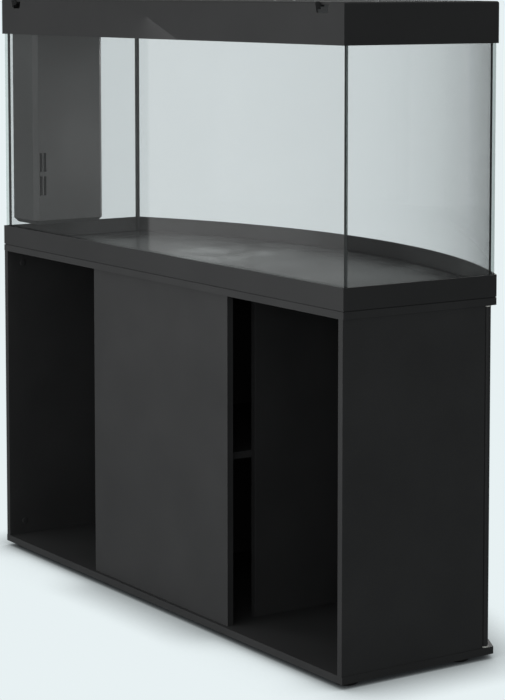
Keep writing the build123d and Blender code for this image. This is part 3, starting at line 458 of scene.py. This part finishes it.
def makeFeet():
    bm = bmesh.new()
    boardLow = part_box("bottom_board")[0].z
    for low, high in loosePieces("feet"):
        middle = Matrix.Translation(((low.x + high.x) / 2, (low.y + high.y) / 2, low.z))
        profile = footProfile((high.x - low.x) / 2, boardLow - low.z, high.z - low.z)
        lathe(bm, profile, footShape["steps"], middle, groove=footGroove)
    settle(pieceFrom(bm, "ribbedFeet", (footBlack,)), "stand", "foot_plastic", "feet")


makeFeet()

# thin domed caps that hide the cam fittings inside the bays
capShape = {"steps": 40, "radius": 0.0086, "rise": 0.0009, "sunk": 0.0004,
            "dome": ((1, 0.25), (0.94, 0.7), (0.6, 1), (0.1, 1))}  # shares of the radius and the rise


def makeCamCaps():
    bm = bmesh.new()
    profile = [(capShape["radius"], -capShape["sunk"])]
    profile += [(out * capShape["radius"], up * capShape["rise"]) for out, up in capShape["dome"]]
    for low, high in loosePieces("cam_locks"):
        size = high - low
        middle = (low + high) / 2
        if size.y < size.x:
            middle.y = low.y
            facing = Vector((0, -1, 0))
        else:
            inwards = -1 if middle.x > 0 else 1
            middle.x = high.x if inwards > 0 else low.x
            facing = Vector((inwards, 0, 0))
        place = Matrix.Translation(middle) @ facing.to_track_quat("Z", "Y").to_matrix().to_4x4()
        lathe(bm, profile, capShape["steps"], place)
    settle(pieceFrom(bm, "camCaps", (boardBlack,)), "stand", "black_plastic")


makeCamCaps()
print("feet and caps turned")

# lamp tubes along the beam: frosted below, with a finned metal back and ringed end caps
tubeShape = {"steps": 144, "inset": 0.001, "fins": 36, "finDepth": 0.0007, "backFrom": 0.25, "cap": 0.018,
             "hub": 0.6, "endBevel": 0.0008, "innerBevel": 0.0006, "ringFrom": 0.006, "ringTo": 0.008,
             "ringSlope": 0.0004, "ringDepth": 0.0006}


def tubeFins(turn, radius, along):
    # only on the metal back, which is the upper side
    isBack = math.cos(turn) < -tubeShape["backFrom"]
    return tubeShape["finDepth"] * ripple(turn, tubeShape["fins"]) if isBack else 0


def tubeCapProfile(capRadius, radius, glassEnd, tubeEnd):
    shape = tubeShape
    ring = capRadius - shape["ringDepth"]
    return [(shape["hub"] * capRadius, tubeEnd), (capRadius - shape["endBevel"], tubeEnd),
            (capRadius, tubeEnd - shape["endBevel"]), (capRadius, tubeEnd - shape["ringFrom"]),
            (ring, tubeEnd - shape["ringFrom"] - shape["ringSlope"]),
            (ring, tubeEnd - shape["ringTo"] + shape["ringSlope"]), (capRadius, tubeEnd - shape["ringTo"]),
            (capRadius, glassEnd + shape["innerBevel"]), (capRadius - shape["innerBevel"], glassEnd),
            (shape["hub"] * radius, glassEnd)]


def makeLampTubes():
    shape = tubeShape
    bm = bmesh.new()
    for low, high in loosePieces("led_tubes"):
        middle = (low + high) / 2
        place = Matrix.Translation(middle) @ Matrix.Rotation(math.radians(90), 4, "Y")
        capRadius = (high.z - low.z) / 2
        radius = capRadius - shape["inset"]
        tubeEnd = (high.x - low.x) / 2
        glassEnd = tubeEnd - shape["cap"]
        tube = [(radius, -glassEnd), (radius, glassEnd)]
        for face in lathe(bm, tube, shape["steps"], place, groove=tubeFins):
            if face.calc_center_median().z > middle.z + shape["backFrom"] * radius:
                face.material_index = 1
        profile = tubeCapProfile(capRadius, radius, glassEnd, tubeEnd)
        for side in (-1, 1):
            turned = [(reach, side * along) for reach, along in profile]
            lathe(bm, turned, shape["steps"], place, finish=1)
    settle(pieceFrom(bm, "lampTubes", (tubeWhite, beamMetal)), "stand", "lamp_tube", "led_tubes")


makeLampTubes()
print("lamp tubes made")

# heater in its chamber: ribbed head, glass tube with a round tip, ceramic core and a wound wire
heaterShape = {"steps": 64, "radius": 0.012, "tipFrom": 6, "tipTo": 90, "tipStep": 12,
               "head": 0.015, "headHeight": 0.016, "headBevel": 0.001, "hub": 0.6, "ribs": 24,
               "ribDepth": 0.0006, "ribFrom": 0.002, "ribRunout": 0.0001,
               "spigot": 0.003, "spigotHeight": 0.008, "spigotBevel": 0.0005,
               "core": 0.0055, "coreFrom": 0.02, "coreBevel": 0.0008, "coreGap": 0.001,
               "wire": 0.0006, "wireSides": 8, "coil": 0.0072, "coilFrom": 0.04, "coilTo": 0.19,
               "turns": 26, "turnSteps": 20}


def sweepTube(bm, points, radius, sides, finish):
    # a round wire along a run of points
    rings = []
    for index, point in enumerate(points):
        ahead = points[min(index + 1, len(points) - 1)] - points[max(index - 1, 0)]
        turn = ahead.to_track_quat("Z", "Y").to_matrix()
        ring = []
        for side in range(sides):
            angle = 2 * math.pi * side / sides
            spot = Vector((radius * math.cos(angle), radius * math.sin(angle), 0))
            ring.append(bm.verts.new(point + turn @ spot))
        rings.append(ring)
    skinRings(bm, rings, finish)


def heaterTip():
    # the round end of the glass, in steps from near its lowest point up to the full radius
    radius = heaterShape["radius"]
    degrees = range(heaterShape["tipFrom"], heaterShape["tipTo"] + 1, heaterShape["tipStep"])
    angles = [math.radians(degree) for degree in degrees]
    return [(radius * math.sin(angle), radius * (1 - math.cos(angle))) for angle in angles]


def heaterHeadProfile(headLow, headTop):
    shape = heaterShape
    ribEnd = shape["ribFrom"] + shape["ribRunout"]
    spigotTop = headTop + shape["spigotHeight"]
    return [(shape["hub"] * shape["head"], headLow), (shape["head"] - shape["headBevel"], headLow),
            (shape["head"], headLow + shape["headBevel"]), (shape["head"], headLow + ribEnd),
            (shape["head"], headTop - ribEnd), (shape["head"], headTop - shape["headBevel"]),
            (shape["head"] - shape["headBevel"], headTop), (shape["spigot"], headTop),
            (shape["spigot"], spigotTop - shape["spigotBevel"]),
            (shape["spigot"] - shape["spigotBevel"], spigotTop)]


def heaterCoil(place):
    shape = heaterShape
    points = []
    for step in range(shape["turns"] * shape["turnSteps"] + 1):
        share = step / (shape["turns"] * shape["turnSteps"])
        angle = 2 * math.pi * shape["turns"] * share
        height = shape["coilFrom"] + share * (shape["coilTo"] - shape["coilFrom"])
        spot = Vector((shape["coil"] * math.cos(angle), shape["coil"] * math.sin(angle), height))
        points.append(place @ spot)
    return points


def makeHeater():
    shape = heaterShape
    bm = bmesh.new()
    low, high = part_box("heater")
    place = Matrix.Translation(((low.x + high.x) / 2, (low.y + high.y) / 2, low.z))
    headTop = high.z - low.z - shape["spigotHeight"]
    headLow = headTop - shape["headHeight"]

    def ribs(turn, reach, height):
        onHead = headLow + shape["ribFrom"] < height < headTop - shape["ribFrom"]
        return shape["ribDepth"] * ripple(turn, shape["ribs"]) if onHead else 0

    lathe(bm, heaterTip() + [(shape["radius"], headLow)], shape["steps"], place)
    lathe(bm, heaterHeadProfile(headLow, headTop), shape["steps"] * 2, place, finish=1, groove=ribs)
    core = [(shape["core"] - shape["coreBevel"], shape["coreFrom"]),
            (shape["core"], shape["coreFrom"] + shape["coreBevel"]),
            (shape["core"], headLow - shape["coreGap"])]
    lathe(bm, core, shape["steps"] // 2, place, finish=2)
    sweepTube(bm, heaterCoil(place), shape["wire"], shape["wireSides"], 3)
    piece = pieceFrom(bm, "heaterTube", (smokedTube, innerPlastic, ceramicWhite, platedSteel))
    settle(piece, "stand", "heater_glass", "heater")


makeHeater()
print("heater made")

# open-pored filter foam: rounded blocks whose surface sinks into cells
foamSkin = {"rounding": 0.006, "poreWidth": 1.6, "evenShare": 0.15, "crease": 80}
foamBlocks = {
    "coarseBlock": {"node": "sponge_coarse", "finish": coarseFoam, "slot": "coarse_foam", "cell": 0.0052,
                    "depth": 0.0022, "gridStep": 0.0024},
    "fineBlock": {"node": "sponge_fine", "finish": fineFoam, "slot": "fine_foam", "cell": 0.0034,
                  "depth": 0.0012, "gridStep": 0.0021},
}


def makeFoam(name, block):
    low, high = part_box(block["node"])
    size = high - low
    bm = bmesh.new()
    counts = [max(2, round(size[axis] / block["gridStep"])) for axis in range(3)]
    grid = {}

    def cornerAt(spot):
        if spot not in grid:
            place = [low[axis] + size[axis] * spot[axis] / counts[axis] for axis in range(3)]
            grid[spot] = bm.verts.new(place)
        return grid[spot]

    for axis in range(3):
        across, up = [other for other in range(3) if other != axis]
        for level in (0, counts[axis]):
            for i in range(counts[across]):
                for j in range(counts[up]):
                    spots = []
                    for stepI, stepJ in ((0, 0), (1, 0), (1, 1), (0, 1)):
                        spot = [0, 0, 0]
                        spot[axis], spot[across], spot[up] = level, i + stepI, j + stepJ
                        spots.append(cornerAt(tuple(spot)))
                    bm.faces.new(spots)
    rounding = foamSkin["rounding"]
    evenShare = foamSkin["evenShare"]
    for vert in bm.verts:
        core = Vector([min(max(vert.co[axis], low[axis] + rounding), high[axis] - rounding)
                       for axis in range(3)])
        away = (vert.co - core).normalized()
        nearest = noise.voronoi(vert.co / block["cell"])[0][0]
        pore = max(0.0, 1 - foamSkin["poreWidth"] * nearest)
        vert.co = core + away * (rounding - block["depth"] * (evenShare + (1 - evenShare) * pore))
    piece = pieceFrom(bm, name, (block["finish"],), crease=foamSkin["crease"])
    settle(piece, "stand", block["slot"], block["node"])


for name, block in foamBlocks.items():
    makeFoam(name, block)
print("foam made")


# pale floor with a soft contact shadow, and the same pale backdrop all round
stageLook = {"pale": (0.807, 0.880, 0.896), "radius": 3.5, "sides": 96, "fill": 0.3, "shadowReach": 0.16,
             "shadowPower": 1.6, "shadowSamples": 16, "shadow": (0.006, 0.007, 0.008)}


def makeFloor(look):
    mesh = bpy.data.meshes.new("floor")
    bm = bmesh.new()
    bmesh.ops.create_circle(bm, cap_ends=True, radius=look["radius"], segments=look["sides"])
    bm.to_mesh(mesh)
    bm.free()
    floor = bpy.data.objects.new("floor", mesh)
    bpy.context.scene.collection.objects.link(floor)
    material, tree, shader = emptyMaterial("floorPale")
    tree.nodes.remove(shader)
    near = addNode(tree, "ShaderNodeAmbientOcclusion", {"Distance": look["shadowReach"]},
                   samples=look["shadowSamples"])
    softer = addNode(tree, "ShaderNodeMath", operation="POWER")
    softer.inputs[1].default_value = look["shadowPower"]
    join(tree, near, "AO", softer, 0)
    tone = addNode(tree, "ShaderNodeMix", data_type="RGBA")
    tone.inputs["A"].default_value = (*look["shadow"], 1)
    tone.inputs["B"].default_value = (*look["pale"], 1)
    join(tree, softer, "Value", tone, "Factor")
    path = addNode(tree, "ShaderNodeLightPath")
    strength = addNode(tree, "ShaderNodeMapRange", {"To Min": look["fill"], "To Max": 1.0})
    join(tree, path, "Is Camera Ray", strength, "Value")
    glow = addNode(tree, "ShaderNodeEmission")
    join(tree, tone, "Result", glow, "Color")
    join(tree, strength, "Result", glow, "Strength")
    join(tree, glow, "Emission", tree.nodes["Material Output"], "Surface")
    mesh.materials.append(material)


makeFloor(stageLook)


# brightness of the studio walls round the compass, in degrees from the length axis, and one card with a
# crisp edge that fades away from it; the camera doesn't see them
roomLook = {"tone": (0.96, 1.0, 1.0), "card": 0.61, "cardEdge": 31.0, "cardSoft": 0.08, "cardFade": 12.0,
            "walls": ((-180, 0.30), (-147, 0.15), (-110, 0.28), (-45, 0.28), (-10, 0.12), (31, 0.25),
                      (60, 0.55), (110, 0.72), (150, 0.48), (180, 0.30))}


def makeBackdrop(pale, look):
    world = bpy.data.worlds.new("studio")
    bpy.context.scene.world = world
    world.use_nodes = True
    tree = world.node_tree
    back = tree.nodes["Background"]
    path = addNode(tree, "ShaderNodeLightPath")
    place = addNode(tree, "ShaderNodeTexCoord")
    split = addNode(tree, "ShaderNodeSeparateXYZ")
    join(tree, place, "Generated", split, "Vector")
    turn = addNode(tree, "ShaderNodeMath", operation="ARCTAN2")
    join(tree, split, "Y", turn, 0)
    join(tree, split, "X", turn, 1)
    compass = addNode(tree, "ShaderNodeMapRange", {"From Min": -math.pi, "From Max": math.pi})
    join(tree, turn, "Value", compass, "Value")
    walls = addNode(tree, "ShaderNodeValToRGB")
    stops = walls.color_ramp.elements
    for wall in look["walls"][1:-1]:
        stops.new((wall[0] + 180) / 360)
    for stop, wall in zip(stops, look["walls"]):
        stop.color = (*[share * wall[1] for share in look["tone"]], 1)
    join(tree, compass, "Result", walls, "Fac")
    edge = math.radians(look["cardEdge"])
    rise = addNode(tree, "ShaderNodeMapRange", {"From Min": edge, "To Max": look["card"],
                                                "From Max": edge + math.radians(look["cardSoft"])})
    join(tree, turn, "Value", rise, "Value")
    fade = addNode(tree, "ShaderNodeMapRange", {"From Min": edge, "To Min": 1.0, "To Max": 0.0,
                                                "From Max": edge + math.radians(look["cardFade"])})
    join(tree, turn, "Value", fade, "Value")
    card = addNode(tree, "ShaderNodeMath", operation="MULTIPLY")
    join(tree, rise, "Result", card, 0)
    join(tree, fade, "Result", card, 1)
    room = addNode(tree, "ShaderNodeVectorMath", operation="ADD")
    join(tree, walls, "Color", room, 0)
    join(tree, card, "Value", room, 1)
    tone = addNode(tree, "ShaderNodeMix", data_type="RGBA")
    tone.inputs["B"].default_value = (*pale, 1)
    join(tree, path, "Is Camera Ray", tone, "Factor")
    join(tree, room, "Vector", tone, "A")
    join(tree, tone, "Result", back, "Color")


makeBackdrop(stageLook["pale"], roomLook)

# soft boxes: place, what they point at, size and power; the three inside show in no mirror
lampLook = {
    "rearKey": {"place": (0.8, 5.5, 0.55), "aim": (0, 0.3, 0.5), "size": (3.2, 2.0), "power": 155},
    "frontKey": {"place": (2.2, -5.0, 2.6), "aim": (0, -0.2, 0.7), "size": (3.0, 2.4), "power": 260},
    "overhead": {"place": (0, 0, 4.2), "aim": (0, 0, 1), "size": (3.0, 2.0), "power": 45},
    "sideFill": {"place": (-4.6, 3.6, 1.5), "aim": (-0.2, 0.2, 0.6), "size": (1.6, 1.6), "power": 28},
    "tankFill": {"place": (-0.1, 0.05, 1.34), "aim": (0.1, 0.08, 0.8), "size": (1.1, 0.35), "power": 2.75,
                 "mirrored": False},
    "filterFill": {"place": (0.12, 0.0, 1.04), "aim": (0.6, 0.14, 0.88), "size": (0.3, 0.3), "power": 2.7,
                   "mirrored": False},
    "hoodFill": {"place": (-0.35, 0.27, 1.40), "aim": (-0.35, 0.03, 1.42), "size": (0.6, 0.03),
                 "power": 0.5, "mirrored": False},
}


def makeLamp(name, lamp):
    light = bpy.data.lights.new(name, "AREA")
    light.shape = "RECTANGLE"
    light.size, light.size_y = lamp["size"]
    light.energy = lamp["power"]
    holder = bpy.data.objects.new(name, light)
    bpy.context.scene.collection.objects.link(holder)
    holder.location = lamp["place"]
    direction = Vector(lamp["aim"]) - Vector(lamp["place"])
    holder.rotation_euler = direction.to_track_quat("-Z", "Y").to_euler()
    holder.visible_camera = False
    holder.visible_glossy = lamp.get("mirrored", True)


for name, lamp in lampLook.items():
    makeLamp(name, lamp)

# the soft boxes leave no hard white shapes in the glass; the room still mirrors in it
shieldedGlass = {"pieces": ("rearGlass", "leftGlass", "rightGlass", "bowGlass", "tieGlass", "bedGlass"),
                 "lamps": ("rearKey", "frontKey", "overhead", "sideFill")}
shield = bpy.data.collections.new("shieldedGlass")
for name in shieldedGlass["pieces"]:
    shield.objects.link(bpy.data.objects[name])
for member in shield.collection_objects:
    member.light_linking.link_state = "EXCLUDE"
for name in shieldedGlass["lamps"]:
    bpy.data.objects[name].light_linking.receiver_collection = shield
print("stage and lights ready")

# behind one rear corner, with the upright lines kept almost parallel by the shift
cameraLook = {"place": (-4.4991, 3.0255, 1.4655), "turn": -33.82, "tilt": -4.97, "lens": 116.18,
              "sensor": 36, "shift": (-0.0077, -0.235)}
camera = bpy.data.cameras.new("camera")
camera.lens = cameraLook["lens"]
camera.sensor_width = cameraLook["sensor"]
camera.shift_x, camera.shift_y = cameraLook["shift"]
camera.dof.use_dof = False
cameraHolder = bpy.data.objects.new("camera", camera)
bpy.context.scene.collection.objects.link(cameraHolder)
cameraHolder.location = cameraLook["place"]
cameraHolder.rotation_euler = (math.radians(90 + cameraLook["tilt"]), 0,
                               math.radians(cameraLook["turn"] - 90))
bpy.context.scene.camera = cameraHolder
bpy.context.scene.view_settings.view_transform = "Standard"
